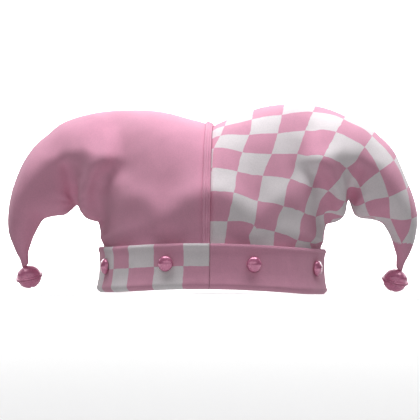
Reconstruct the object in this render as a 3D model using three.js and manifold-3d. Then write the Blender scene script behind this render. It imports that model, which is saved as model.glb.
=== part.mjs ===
// Jester hat: a soft crown with two drooping horns, one half of plain cloth
// and one half of checked cloth, sewn together at a welted middle seam. A
// turned-up band with domed studs goes round it, and a jingle bell hangs on
// the tip of each horn. Millimetres, +Z up, the front faces -Y, and the hat
// stands on the lower fold of its band.

import * as THREE from "three";
import { mergeVertices } from "three/addons/utils/BufferGeometryUtils.js";
import Module from "manifold-3d";

const wasm = await Module();
wasm.setup();

// Driving dimensions
const headHalfWidth = 88; // hollow at the band, from the middle to the side
const headHalfDepth = 98; // hollow at the band, from the middle to the front
const crownWall = 2; // cloth of the crown
const crownBulge = 3; // how far the crown swells out over the band
const bulgeRise = 8; // height over which the crown swells out
const archPower = 3.2; // squareness of the seam's arch, 2 is an ellipse
const plainTop = 151.5; // highest point of the plain horn's back
const checkRise = 6.3; // how much higher the checked horn's back stands
const hornReach = 80; // how far a horn stands out past the crown's side
const tipRound = 1.3; // height of a horn's rounded end
const bandWall = 3; // cloth of the turned-up band
const bandHeight = 37.5;
const bandBulge = 1.9; // how far the band's lower fold stands proud
const browArch = 3.3; // rise of the band at the front and at the back
const weltWidth = 6; // folded strip over the middle seam
const weltThick = 1.6;
const studDiameter = 13;
const studHeight = 4.3;
const studCount = 8;
const bellDiameter = 20; // of its dome and cup
const bellHeight = 19.2;
const bellWall = 0.9;
const bellFlange = 1.2; // how far the bell's waist stands proud
const bellFlangeThick = 0.9; // of each half's share of the waist
const bellSlot = 2.2; // width of the sound slots
const bellClearance = 2.4; // from the surface up to the bells
const bellInset = 1.4; // how far a bell's middle lies inward of its horn's tip
const bellLeanOut = 13; // degrees that a bell's top leans outward
const bellLeanFront = 17; // degrees that a bell's top leans to the front
const gap = 0.3; // between pieces that touch

// Fineness of the faceted cloth
const topSteps = 12; // from the top of a loop to its front
const lowSteps = 8; // from the front of a loop to its low point
const outerLoops = 24;
const innerLoops = 16;
const bandSteps = 26;
const studSides = 12;
const studRings = 4;
const bellSides = 14;
const bellRings = 5;

// Sizes that follow
const crownHalfWidth = headHalfWidth + crownWall;
const crownHalfDepth = headHalfDepth + crownWall;
const rimHeight = bandWall + gap;
const studUp = bandHeight * 0.57; // middle of the studs over the band's edge
const bandFace = gap + bandWall;
const bandStandOff = gap + crownBulge / 2;
const bellUp = bellHeight / 2;
const bellAxis = leanedAxis();
const bellMiddle = bellClearance + bellUp;
const hornTipHeight = bellMiddle + (bellUp + gap) * bellAxis.z + tipRound;

// One side of the crown with its horn, as loops of cloth round the hollow.
// A loop has a top point, a low point and a middle on its front. Outward, 1
// is the crown's side and 2 the horn's far edge. Upward, 0 is the horn's tip
// and 1 its back, and the first loop's low points lie on the rim. A rise of 1
// takes the whole extra height of the checked side. Depth is a share of the
// crown's half depth, corner is 1 where the loop turns sharply from the seam
// to the rim, and tube is 1 where the loop goes round the horn alone.
const loopColumns = [
  "topOut", "topUp", "rise", "lowOut", "lowUp", "midOut", "midUp", "depth", "corner", "tube",
];
const loopTable = [
  [0.00, 0.90, 0.00, 1.00, 0.00, 0.00, 0.00, 1.00, 1.00, 0.00],
  [0.24, 0.95, 0.43, 1.00, -0.02, 0.17, -0.02, 0.99, 0.70, 0.00],
  [0.47, 0.99, 0.80, 1.00, 0.12, 0.32, 0.12, 0.94, 0.45, 0.00],
  [0.67, 1.00, 0.95, 1.00, 0.20, 0.50, 0.24, 0.81, 0.20, 0.10],
  [0.84, 1.00, 1.00, 1.04, 0.27, 0.70, 0.39, 0.66, 0.00, 0.55],
  [1.01, 0.99, 0.80, 1.09, 0.28, 0.93, 0.55, 0.57, 0.00, 1.00],
  [1.17, 0.97, 0.50, 1.18, 0.30, 1.16, 0.62, 0.50, 0.00, 1.00],
  [1.32, 0.94, 0.20, 1.24, 0.34, 1.28, 0.64, 0.43, 0.00, 1.00],
  [1.47, 0.90, 0.20, 1.28, 0.38, 1.38, 0.64, 0.36, 0.00, 1.00],
  [1.61, 0.83, 0.20, 1.34, 0.35, 1.47, 0.59, 0.33, 0.00, 1.00],
  [1.73, 0.76, 0.00, 1.41, 0.32, 1.57, 0.54, 0.30, 0.00, 1.00],
  [1.83, 0.67, -0.55, 1.52, 0.31, 1.68, 0.49, 0.27, 0.00, 1.00],
  [1.91, 0.56, -0.70, 1.62, 0.29, 1.77, 0.43, 0.23, 0.00, 1.00],
  [1.97, 0.45, -0.70, 1.68, 0.24, 1.83, 0.35, 0.19, 0.00, 1.00],
  [2.00, 0.32, -0.20, 1.72, 0.19, 1.86, 0.26, 0.15, 0.00, 1.00],
  [1.98, 0.19, 0.00, 1.75, 0.14, 1.87, 0.17, 0.11, 0.00, 1.00],
  [1.92, 0.09, 0.00, 1.78, 0.08, 1.85, 0.08, 0.06, 0.00, 1.00],
  [1.86, 0.03, 0.00, 1.79, 0.04, 1.83, 0.03, 0.03, 0.00, 1.00],
  [1.84, -0.01, 0.00, 1.79, 0.01, 1.82, 0.00, 0.02, 0.00, 1.00],
];
const lastPlace = loopTable.length - 1;
const innerLastPlace = 15.2; // the hollow ends short of the narrow tip

// Folds seen from the front, each a line of outward and upward shares. Depth
// is the share of the local depth that the cloth moves, and width is a share
// of the horn's reach.
const foldTable = [
  // The tuck and the ridge above the elbow, and the tuck at the crown's side
  { depth: -0.14, width: 0.12, line: [[1.28, 0.38], [1.31, 0.51], [1.36, 0.65]] },
  { depth: 0.07, width: 0.10, line: [[1.20, 0.33], [1.17, 0.51], [1.08, 0.65]] },
  { depth: -0.09, width: 0.14, line: [[1.09, 0.28], [1.07, 0.42], [0.99, 0.55], [0.87, 0.63]] },
  // The crest along the horn, and its run on over the crown
  { depth: 0.06, width: 0.10, line: [[1.94, 0.37], [1.61, 0.66], [1.20, 0.73], [0.87, 0.66]] },
  { depth: 0.03, width: 0.14, line: [[0.82, 0.50], [0.63, 0.42], [0.44, 0.31], [0.07, 0.46]] },
];

// The band's outer face: upward as a share of its height, and outward past
// its plain face as a share of the fold's bulge.
const bandColumns = ["up", "out"];
const bandTable = [
  [0.00, -0.60],
  [0.03, 0.30],
  [0.09, 0.85],
  [0.16, 1.00],
  [0.24, 0.85],
  [0.36, 0.45],
  [0.50, 0.12],
  [0.66, 0.00],
  [0.80, 0.05],
  [0.90, 0.28],
  [0.96, 0.22],
  [1.00, -0.15],
];

// Colours
const pinkCloth = 0xe59fbd;
const paleCheck = 0xf2cfdd;
const darkPinkCloth = 0xcf8aa6;
const pinkMetal = 0xe3a0bb;

function named(columns, row) {
  return Object.fromEntries(columns.map((name, index) => [name, row[index]]));
}

function leanedAxis() {
  const out = Math.tan(THREE.MathUtils.degToRad(bellLeanOut));
  const front = Math.tan(THREE.MathUtils.degToRad(bellLeanFront));
  return new THREE.Vector3(out, -front, 1).normalize();
}

function outward(share) {
  return Math.min(share, 1) * crownHalfWidth + Math.max(share - 1, 0) * hornReach;
}

function upward(share) {
  return THREE.MathUtils.lerp(hornTipHeight, plainTop, share);
}

// The rise of the band and the rim towards the front and the back. It is
// nothing near the sides, where the hat rests.
const flatSideShare = 0.35;
function browLift(y) {
  const share = (Math.abs(y) / crownHalfDepth - flatSideShare) / (1 - flatSideShare);
  return browArch * THREE.MathUtils.clamp(share, 0, 1) ** 2;
}

// Loops of the crown

function loopRows(extraRise) {
  return loopTable.map((row, index) => {
    const share = named(loopColumns, row);
    const rise = share.rise * extraRise;
    return {
      topX: outward(share.topOut),
      topZ: upward(share.topUp) + rise,
      lowX: outward(share.lowOut),
      lowZ: index === 0 ? rimHeight : upward(share.lowUp),
      midX: outward(share.midOut),
      midZ: index === 0 ? rimHeight : upward(share.midUp) + rise / 2,
      depth: share.depth * crownHalfDepth,
      corner: share.corner,
      tube: share.tube,
    };
  });
}

function throughFour(a, b, c, d, t) {
  const bend = 2 * a - 5 * b + 4 * c - d;
  const twist = -a + 3 * b - 3 * c + d;
  return b + (t * (c - a + t * (bend + t * twist))) / 2;
}

function sectionAt(rows, place) {
  const index = Math.min(Math.floor(place), rows.length - 2);
  const row = (step) => rows[THREE.MathUtils.clamp(index + step, 0, rows.length - 1)];
  const section = {};
  for (const key of Object.keys(rows[0])) {
    const near = [row(-1), row(0), row(1), row(2)].map((item) => item[key]);
    section[key] = throughFour(...near, place - index);
  }
  section.corner = THREE.MathUtils.clamp(section.corner, 0, 1);
  section.tube = THREE.MathUtils.clamp(section.tube, 0, 1);
  return section;
}

// The line of the top points, used for the crown's height over a place
function topLineOf(rows) {
  const samples = 90;
  const line = [];
  for (let step = 0; step <= samples; step += 1) {
    const section = sectionAt(rows, (step / samples) * (lastPlace / 2));
    line.push([section.topX, section.topZ]);
  }
  return line;
}

function heightOver(line, x) {
  const next = line.findIndex(([lineX]) => lineX >= x);
  if (next === 0) return line[0][1];
  if (next < 0) return line[line.length - 1][1];
  const [x0, z0] = line[next - 1];
  const [x1, z1] = line[next];
  return THREE.MathUtils.mapLinear(x, x0, x1, z0, z1);
}

function crownDepth(form, section, x, z) {
  const side = Math.max(0, 1 - (x / Math.max(crownHalfWidth, section.lowX)) ** 2);
  const rise = Math.min(1, z / heightOver(form.topLine, x));
  return crownHalfDepth * Math.sqrt(side) * (1 - rise ** archPower) ** (1 / archPower);
}

function distanceToLine(x, z, line) {
  let nearest = Infinity;
  for (let index = 1; index < line.length; index += 1) {
    const [x0, z0] = line[index - 1];
    const [x1, z1] = line[index];
    const lengthSquared = (x1 - x0) ** 2 + (z1 - z0) ** 2;
    const along = ((x - x0) * (x1 - x0) + (z - z0) * (z1 - z0)) / lengthSquared;
    const t = THREE.MathUtils.clamp(along, 0, 1);
    nearest = Math.min(nearest, Math.hypot(x - x0 - t * (x1 - x0), z - z0 - t * (z1 - z0)));
  }
  return nearest;
}

const folds = foldTable.map((fold) => ({
  depth: fold.depth,
  width: fold.width * hornReach,
  line: fold.line.map(([out, up]) => [outward(out), upward(up)]),
}));

function foldShare(x, z) {
  let share = 1;
  for (const fold of folds) {
    const distance = distanceToLine(x, z, fold.line);
    share += fold.depth * Math.exp(-((distance / fold.width) ** 2));
  }
  return share;
}

// The crown swells out over the band's upper edge and evens out higher up
const bulgeFadeStart = 1.9; // in band heights
const bulgeFadeEnd = 3.4;
const liftFadeEnd = 1.6;
function settle(point, tube) {
  const lift = browLift(point.y);
  const start = bandHeight + lift + gap;
  const swell = THREE.MathUtils.smoothstep(point.z, start, start + bulgeRise);
  const fade = THREE.MathUtils.smoothstep(point.z, bulgeFadeStart * bandHeight, bulgeFadeEnd * bandHeight);
  const away = new THREE.Vector3(point.x / crownHalfWidth ** 2, point.y / crownHalfDepth ** 2, 0);
  const liftShare = 1 - THREE.MathUtils.smoothstep(point.z, bandHeight, liftFadeEnd * bandHeight);
  point.addScaledVector(away.normalize(), crownBulge * swell * (1 - fade) * (1 - tube));
  point.z += lift * liftShare;
  return point;
}

// A point on the front of a loop, from its top (0) to its low point (1)
function frontPoint(form, section, t) {
  const { topX, topZ, midX, midZ, lowX, lowZ, corner, tube } = section;
  const angled = (top, mid, low) =>
    t < 0.5 ? THREE.MathUtils.lerp(top, mid, 2 * t) : THREE.MathUtils.lerp(mid, low, 2 * t - 1);
  const rounded = (top, mid, low) => (1 - t) ** 2 * top + 2 * t * (1 - t) * mid + t ** 2 * low;
  const x = THREE.MathUtils.lerp(rounded(topX, midX, lowX), angled(topX, midX, lowX), corner);
  const z = THREE.MathUtils.lerp(rounded(topZ, midZ, lowZ), angled(topZ, midZ, lowZ), corner);
  const asTube = section.depth * Math.sqrt(4 * t * (1 - t));
  const depth = THREE.MathUtils.lerp(crownDepth(form, section, x, z), asTube, tube);
  return settle(new THREE.Vector3(x, -depth * foldShare(x, z), z), tube);
}

// The same stretch of a loop in steps of even length
function evenStretch(form, section, fromTop, steps) {
  const samples = 120;
  const points = [];
  for (let step = 0; step <= samples; step += 1) {
    const share = (step / samples) ** 3 / 2;
    points.push(frontPoint(form, section, fromTop ? share : 1 - share));
  }
  const lengths = [0];
  for (let index = 1; index < points.length; index += 1) {
    lengths.push(lengths[index - 1] + points[index].distanceTo(points[index - 1]));
  }
  const whole = lengths[samples];
  const even = [];
  let index = 1;
  for (let step = 0; step <= steps; step += 1) {
    const wanted = (whole * step) / steps;
    while (index < samples && lengths[index] < wanted) index += 1;
    const t = (wanted - lengths[index - 1]) / (lengths[index] - lengths[index - 1]);
    even.push(points[index - 1].clone().lerp(points[index], THREE.MathUtils.clamp(t, 0, 1)));
  }
  return fromTop ? even : even.reverse();
}

function loopAt(form, place) {
  const section = sectionAt(form.rows, place);
  const upper = evenStretch(form, section, true, topSteps);
  const lower = evenStretch(form, section, false, lowSteps);
  const front = [...upper, ...lower.slice(1)];
  front[0].y = 0;
  front[front.length - 1].y = 0;
  const back = front.slice(1, -1).reverse();
  return [...front, ...back.map((point) => new THREE.Vector3(point.x, -point.y, point.z))];
}

// Directions out of the cloth at each point of a loop. On the first loop they
// stay in the plane of the seam, and level along the rim.
const normalStep = 0.02;
function loopNormals(form, place) {
  const loop = loopAt(form, place);
  const before = loopAt(form, Math.max(0, place - normalStep));
  const after = loopAt(form, Math.min(lastPlace, place + normalStep));
  const count = loop.length;
  return loop.map((point, index) => {
    const around = loop[(index + 1) % count].clone().sub(loop[(index + count - 1) % count]);
    const along = after[index].clone().sub(before[index]);
    const normal = new THREE.Vector3().crossVectors(around, along);
    if (place === 0) {
      const fromTop = Math.min(index, count - index);
      if (fromTop <= topSteps) normal.x = 0;
      if (fromTop >= topSteps) normal.z = 0;
    }
    return normal.normalize();
  });
}

function innerLoopAt(form, place) {
  const normals = loopNormals(form, place);
  return loopAt(form, place).map((point, index) => point.addScaledVector(normals[index], -crownWall));
}

// Closed meshes from rings of points

class Skin {
  constructor() {
    this.points = [];
    this.faces = [];
  }

  add(points) {
    const first = this.points.length;
    this.points.push(...points);
    return points.map((_, index) => first + index);
  }

  join(ring, next) {
    const count = ring.length;
    for (let index = 0; index < count; index += 1) {
      const other = (index + 1) % count;
      this.faces.push([ring[index], ring[other], next[other]], [ring[index], next[other], next[index]]);
    }
  }

  joinAll(rings) {
    for (let index = 1; index < rings.length; index += 1) this.join(rings[index - 1], rings[index]);
  }

  fan(ring, point) {
    const [tip] = this.add([point]);
    ring.forEach((item, index) => this.faces.push([item, ring[(index + 1) % ring.length], tip]));
  }

  geometry(mirrored) {
    const side = mirrored ? -1 : 1;
    const geometry = new THREE.BufferGeometry();
    const values = this.points.flatMap((point) => [side * point.x, point.y, point.z]);
    const corners = this.faces.flatMap(([a, b, c]) => (mirrored ? [a, c, b] : [a, b, c]));
    geometry.setAttribute("position", new THREE.Float32BufferAttribute(values, 3));
    geometry.setIndex(corners);
    geometry.computeVertexNormals();
    return geometry;
  }
}

function centreOf(points) {
  const centre = new THREE.Vector3();
  for (const point of points) centre.addScaledVector(point, 1 / points.length);
  return centre;
}

// Places of the loops along one side. The second loop runs along the edge of
// the welt, so that the welt lies on facets of its own width.
function placesTo(form, last, count) {
  const even = Array.from({ length: count }, (_, index) => (last * index) / (count - 1));
  return [0, form.weltPlace, ...even.slice(1)];
}

// The cloth of one side: its outer face, its hollow, and the cut edge that
// joins them along the seam and the rim
function crownGeometry(form, mirrored) {
  const skin = new Skin();
  const outer = placesTo(form, lastPlace, outerLoops).map((place) => loopAt(form, place));
  const inner = placesTo(form, innerLastPlace, innerLoops).map((place) => innerLoopAt(form, place));
  const outerRings = outer.map((loop) => skin.add(loop));
  const innerRings = inner.map((loop) => skin.add(loop)).reverse();
  skin.joinAll([...innerRings, ...outerRings]);
  skin.fan(outerRings[outerRings.length - 1], tipPoint(form));
  skin.fan([...innerRings[0]].reverse(), centreOf(inner[inner.length - 1]));
  return skin.geometry(mirrored);
}

// The rounded end of a horn, on which its bell hangs
function tipPoint(form) {
  const centre = centreOf(loopAt(form, lastPlace));
  return new THREE.Vector3(centre.x, 0, hornTipHeight - tipRound);
}

// The folded strip on the plain half's edge of the seam. It lies on the
// crown's facets from the band's upper edge at the front to that at the back.
const weltStart = bandHeight + browArch + gap;
function weltGeometry(form, mirrored) {
  const edge = loopAt(form, 0);
  const far = loopAt(form, form.weltPlace);
  const edgeNormals = loopNormals(form, 0);
  const farNormals = loopNormals(form, form.weltPlace);
  const stretch = [];
  for (let step = -topSteps; step <= topSteps; step += 1) {
    const index = (step + edge.length) % edge.length;
    stretch.push([edge[index], far[index], edgeNormals[index], farNormals[index]]);
  }
  const first = stretch.findIndex(([point]) => point.z > weltStart + crownWall);
  const last = stretch.length - 1 - first;
  const kept = [
    weltEnd(stretch[first - 1], stretch[first]),
    ...stretch.slice(first, last + 1),
    weltEnd(stretch[last + 1], stretch[last]),
  ];
  const sections = kept.map(weltSection);
  const skin = new Skin();
  const rings = sections.map((section) => skin.add(section));
  skin.joinAll(rings);
  skin.fan(rings[rings.length - 1], centreOf(sections[sections.length - 1]));
  skin.fan([...rings[0]].reverse(), centreOf(sections[0]));
  return skin.geometry(mirrored);
}

function weltEnd(below, above) {
  const t = (weltStart - below[0].z) / (above[0].z - below[0].z);
  return below.map((vector, index) => vector.clone().lerp(above[index], t));
}

// A rounded section with a groove along its middle
const weltColumns = ["across", "up"];
const weltTable = [
  [0.00, 0.00],
  [1.00, 0.00],
  [0.98, 0.70],
  [0.80, 1.00],
  [0.55, 0.75],
  [0.30, 1.00],
  [0.05, 0.85],
];
function weltSection([edge, far, edgeNormal, farNormal]) {
  return weltTable.map((row) => {
    const share = named(weltColumns, row);
    const place = edge.clone().lerp(far, share.across);
    const away = edgeNormal.clone().lerp(farNormal, share.across).normalize();
    return place.addScaledVector(away, gap + share.up * weltThick);
  });
}

// The band

function bandOut(height) {
  const up = height / bandHeight;
  const rows = bandTable.map((row) => named(bandColumns, row));
  const next = Math.max(1, rows.findIndex((row) => row.up >= up));
  const [low, high] = [rows[next - 1], rows[next]];
  return bandFace + bandBulge * THREE.MathUtils.mapLinear(up, low.up, high.up, low.out, high.out);
}

const standOffShare = 0.68; // the upper edge leaves the crown from here up
function bandProfile() {
  const outer = bandTable.map((row) => named(bandColumns, row));
  const points = outer.map(({ up, out }) => new THREE.Vector2(bandFace + out * bandBulge, up * bandHeight));
  const edgeRound = bandWall / 3;
  points.push(new THREE.Vector2(bandStandOff, bandHeight - edgeRound / 2));
  points.push(new THREE.Vector2(bandStandOff, bandHeight - 2 * edgeRound));
  points.push(new THREE.Vector2(gap, bandHeight * standOffShare));
  points.push(new THREE.Vector2(gap, bandWall));
  points.push(new THREE.Vector2(-crownWall, bandWall));
  points.push(new THREE.Vector2(-crownWall, edgeRound));
  points.push(new THREE.Vector2(edgeRound - crownWall, 0));
  return points;
}

// A point at an angle from the hat's side, off the crown's ellipse
function aroundBand(angle, out, height) {
  const x = crownHalfWidth * Math.cos(angle);
  const y = crownHalfDepth * Math.sin(angle);
  const away = new THREE.Vector3(x / crownHalfWidth ** 2, y / crownHalfDepth ** 2, 0).normalize();
  return new THREE.Vector3(x, y, height + browLift(y)).addScaledVector(away, out);
}

function bandGeometry(mirrored) {
  const skin = new Skin();
  const profile = bandProfile();
  const rings = [];
  for (let step = 0; step <= bandSteps; step += 1) {
    const angle = Math.PI * (0.5 - step / bandSteps);
    rings.push(skin.add(profile.map(({ x, y }) => aroundBand(angle, x, y))));
  }
  skin.joinAll(rings);
  for (const [a, b, c] of THREE.ShapeUtils.triangulateShape(profile, [])) {
    const [first, last] = [rings[0], rings[bandSteps]];
    skin.faces.push([first[c], first[b], first[a]], [last[a], last[b], last[c]]);
  }
  return skin.geometry(mirrored);
}

// Studs

const studRimShare = 0.12; // upright foot, as a share of the stud's height
function studGeometry() {
  const radius = studDiameter / 2;
  const rimRise = studHeight * studRimShare;
  const profile = [new THREE.Vector2(0, 0), new THREE.Vector2(radius, 0), new THREE.Vector2(radius, rimRise)];
  for (let step = 1; step <= studRings; step += 1) {
    const angle = (Math.PI / 2) * (step / studRings);
    const across = step === studRings ? 0 : radius * Math.cos(angle);
    profile.push(new THREE.Vector2(across, rimRise + (studHeight - rimRise) * Math.sin(angle)));
  }
  return new THREE.LatheGeometry(profile, studSides);
}

function stud(index) {
  const angle = (2 * Math.PI * (index + 0.5)) / studCount - Math.PI / 2;
  const radius = studDiameter / 2;
  const seat = (height) => aroundBand(angle, Math.max(bandOut(height), bandOut(studUp)), height);
  const low = seat(studUp - radius);
  const high = seat(studUp + radius);
  const turn = radius / crownHalfDepth;
  const along = aroundBand(angle + turn, bandFace, studUp).sub(aroundBand(angle - turn, bandFace, studUp));
  const axis = new THREE.Vector3().crossVectors(along, high.clone().sub(low)).normalize();
  const mesh = part(`stud_${index + 1}`, studGeometry(), pinkMetal, 0.25, 0.6);
  mesh.quaternion.setFromUnitVectors(new THREE.Vector3(0, 1, 0), axis);
  mesh.position.copy(low.lerp(high, 0.5)).addScaledVector(axis, 2 * gap);
  return mesh;
}

// Bells

// One shell from its pole to the waist and back on its inside
function bellShellProfile(side) {
  const radius = bellDiameter / 2;
  const shoulder = gap / 2 + bellFlangeThick;
  const arc = (across, height, steps) =>
    Array.from({ length: steps + 1 }, (_, step) => {
      const angle = (Math.PI / 2) * (step / steps);
      const out = step === 0 ? 0 : across * Math.sin(angle);
      return new THREE.Vector2(out, shoulder + (height - shoulder) * Math.cos(angle));
    });
  const outer = arc(radius, bellUp, bellRings);
  const inner = arc(radius - bellWall, bellUp - bellWall, bellRings - 1).reverse();
  const waist = [
    new THREE.Vector2(radius + bellFlange, shoulder),
    new THREE.Vector2(radius + bellFlange, gap / 2),
    new THREE.Vector2(radius - bellWall, gap / 2),
  ];
  const points = [...outer, ...waist, ...inner];
  return side > 0 ? points.reverse() : points.map(({ x, y }) => new THREE.Vector2(x, -y));
}

function solidOf(geometry) {
  geometry.deleteAttribute("normal");
  geometry.deleteAttribute("uv");
  const merged = mergeVertices(geometry);
  return new wasm.Manifold(
    new wasm.Mesh({
      numProp: 3,
      vertProperties: new Float32Array(merged.attributes.position.array),
      triVerts: new Uint32Array(merged.index.array),
    }),
  );
}

function geometryOf(solid) {
  const mesh = solid.getMesh();
  const geometry = new THREE.BufferGeometry();
  geometry.setAttribute("position", new THREE.BufferAttribute(mesh.vertProperties, 3));
  geometry.setIndex(new THREE.BufferAttribute(mesh.triVerts, 1));
  geometry.computeVertexNormals();
  return geometry;
}

function bellDomeGeometry() {
  return new THREE.LatheGeometry(bellShellProfile(1), bellSides);
}

// The lower half has two sound slots that cross at its bottom
const slotReach = 0.62; // of the bell's diameter
function bellCupGeometry() {
  let solid = solidOf(new THREE.LatheGeometry(bellShellProfile(-1), bellSides));
  const reach = slotReach * bellDiameter;
  for (const turn of [0, Math.PI / 2]) {
    const slot = new THREE.BoxGeometry(reach, bellUp, bellSlot);
    slot.rotateY(turn + Math.PI / 4);
    slot.translate(0, -bellUp, 0);
    solid = solid.subtract(solidOf(slot));
  }
  return geometryOf(solid);
}

function bell(name, form, side) {
  const axis = bellAxis.clone();
  axis.x *= side;
  const across = new THREE.Vector3(axis.z, 0, -axis.x).normalize();
  const tip = tipPoint(form);
  const group = new THREE.Group();
  group.position.set(side * (tip.x + gap / 2), 0, tip.z);
  group.position.addScaledVector(axis, -bellUp - gap).addScaledVector(across, -side * bellInset);
  group.quaternion.setFromUnitVectors(new THREE.Vector3(0, 1, 0), axis);
  group.add(part(`${name}_dome`, bellDomeGeometry(), pinkMetal, 0.25, 0.7));
  group.add(part(`${name}_cup`, bellCupGeometry(), pinkMetal, 0.25, 0.7));
  return group;
}

// The whole hat

function part(name, geometry, color, roughness, metalness) {
  const mesh = new THREE.Mesh(geometry, new THREE.MeshStandardMaterial({ color, roughness, metalness }));
  mesh.name = name;
  return mesh;
}

function besideSeam(mesh, side) {
  mesh.position.x = (side * gap) / 2;
  return mesh;
}

function formOf(extraRise) {
  const rows = loopRows(extraRise);
  const placeStep = 0.01;
  let weltPlace = placeStep;
  while (sectionAt(rows, weltPlace).topX < weltWidth) weltPlace += placeStep;
  return { rows, topLine: topLineOf(rows), weltPlace };
}

const plainForm = formOf(0);
const checkForm = formOf(checkRise);
const hat = new THREE.Group();
hat.add(besideSeam(part("crown_plain", crownGeometry(plainForm, true), pinkCloth, 0.9, 0), -1));
hat.add(besideSeam(part("crown_check", crownGeometry(checkForm, false), paleCheck, 0.9, 0), 1));
hat.add(besideSeam(part("seam_welt", weltGeometry(plainForm, true), pinkCloth, 0.9, 0), -1));
hat.add(besideSeam(part("band_check", bandGeometry(true), paleCheck, 0.9, 0), -1));
hat.add(besideSeam(part("band_plain", bandGeometry(false), darkPinkCloth, 0.9, 0), 1));
for (let index = 0; index < studCount; index += 1) hat.add(stud(index));
hat.add(bell("bell_left", plainForm, -1));
hat.add(bell("bell_right", checkForm, 1));

export default hat;
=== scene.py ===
# Jester hat: the looks of a soft two-horned crown, half plain and half
# checked, with a welted seam, a turned-up band, domed studs and jingle bells.
# Metres, +Z up, the front faces -Y. Every piece stands where its node stands.
import math

import bpy
import numpy as np
from mathutils import Matrix, Vector, noise


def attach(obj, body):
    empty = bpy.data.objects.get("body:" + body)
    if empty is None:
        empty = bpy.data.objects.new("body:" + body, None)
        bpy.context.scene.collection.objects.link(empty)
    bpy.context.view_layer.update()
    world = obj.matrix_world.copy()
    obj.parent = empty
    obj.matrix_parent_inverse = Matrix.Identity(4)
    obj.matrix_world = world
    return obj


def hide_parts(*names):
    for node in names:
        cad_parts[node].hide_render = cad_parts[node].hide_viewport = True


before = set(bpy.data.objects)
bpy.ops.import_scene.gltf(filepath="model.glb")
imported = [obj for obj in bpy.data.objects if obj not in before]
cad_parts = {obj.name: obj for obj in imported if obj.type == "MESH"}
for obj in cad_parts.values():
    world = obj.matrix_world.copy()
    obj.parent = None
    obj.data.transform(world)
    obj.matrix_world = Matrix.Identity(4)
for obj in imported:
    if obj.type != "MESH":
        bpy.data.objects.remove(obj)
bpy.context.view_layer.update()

MM = 0.001

# Added where a length or a weight may be nothing
TINY = 1e-9
TINIEST = 1e-12

# Driving dimensions, as in the construction. Only the band's bulge and the
# bells' flange are larger here, by 0.5 mm and 0.3 mm, so that they show.
HEAD_HALF_WIDTH = 88 * MM
HEAD_HALF_DEPTH = 98 * MM
CROWN_WALL = 2 * MM
CROWN_BULGE = 3 * MM
ARCH_POWER = 3.2
PLAIN_TOP = 151.5 * MM
CHECK_RISE = 6.3 * MM
HORN_REACH = 80 * MM
BAND_WALL = 3 * MM
BAND_HEIGHT = 37.5 * MM
BAND_BULGE = 2.4 * MM
BROW_ARCH = 3.3 * MM
WELT_WIDTH = 6 * MM
WELT_THICK = 1.6 * MM
STUD_DIAMETER = 13 * MM
STUD_HEIGHT = 4.3 * MM
STUD_COUNT = 8
BELL_DIAMETER = 20 * MM
BELL_HEIGHT = 19.2 * MM
BELL_WALL = 0.9 * MM
BELL_FLANGE = 1.5 * MM
BELL_FLANGE_THICK = 1.2 * MM
BELL_SLOT = 2.2 * MM
BELL_CLEARANCE = 2.4 * MM
BELL_INSET = 1.4 * MM
BELL_LEAN_OUT = math.radians(13)
BELL_LEAN_FRONT = math.radians(17)
GAP = 0.3 * MM
TIP_ROUND = 1.3 * MM
TIP_LAP = 0.7 * MM  # the sewn tip reaches down onto its bell, in the scene alone

# Sizes that follow
CROWN_HALF_WIDTH = HEAD_HALF_WIDTH + CROWN_WALL
CROWN_HALF_DEPTH = HEAD_HALF_DEPTH + CROWN_WALL
RIM_HEIGHT = BAND_WALL + GAP
BAND_FACE = GAP + BAND_WALL
BAND_STAND_OFF = GAP + CROWN_BULGE / 2
BELL_UP = BELL_HEIGHT / 2
BELL_AXIS = Vector((math.tan(BELL_LEAN_OUT), -math.tan(BELL_LEAN_FRONT), 1)).normalized()
HORN_TIP_HEIGHT = BELL_CLEARANCE + BELL_UP + (BELL_UP + GAP) * BELL_AXIS.z + TIP_ROUND

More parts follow.
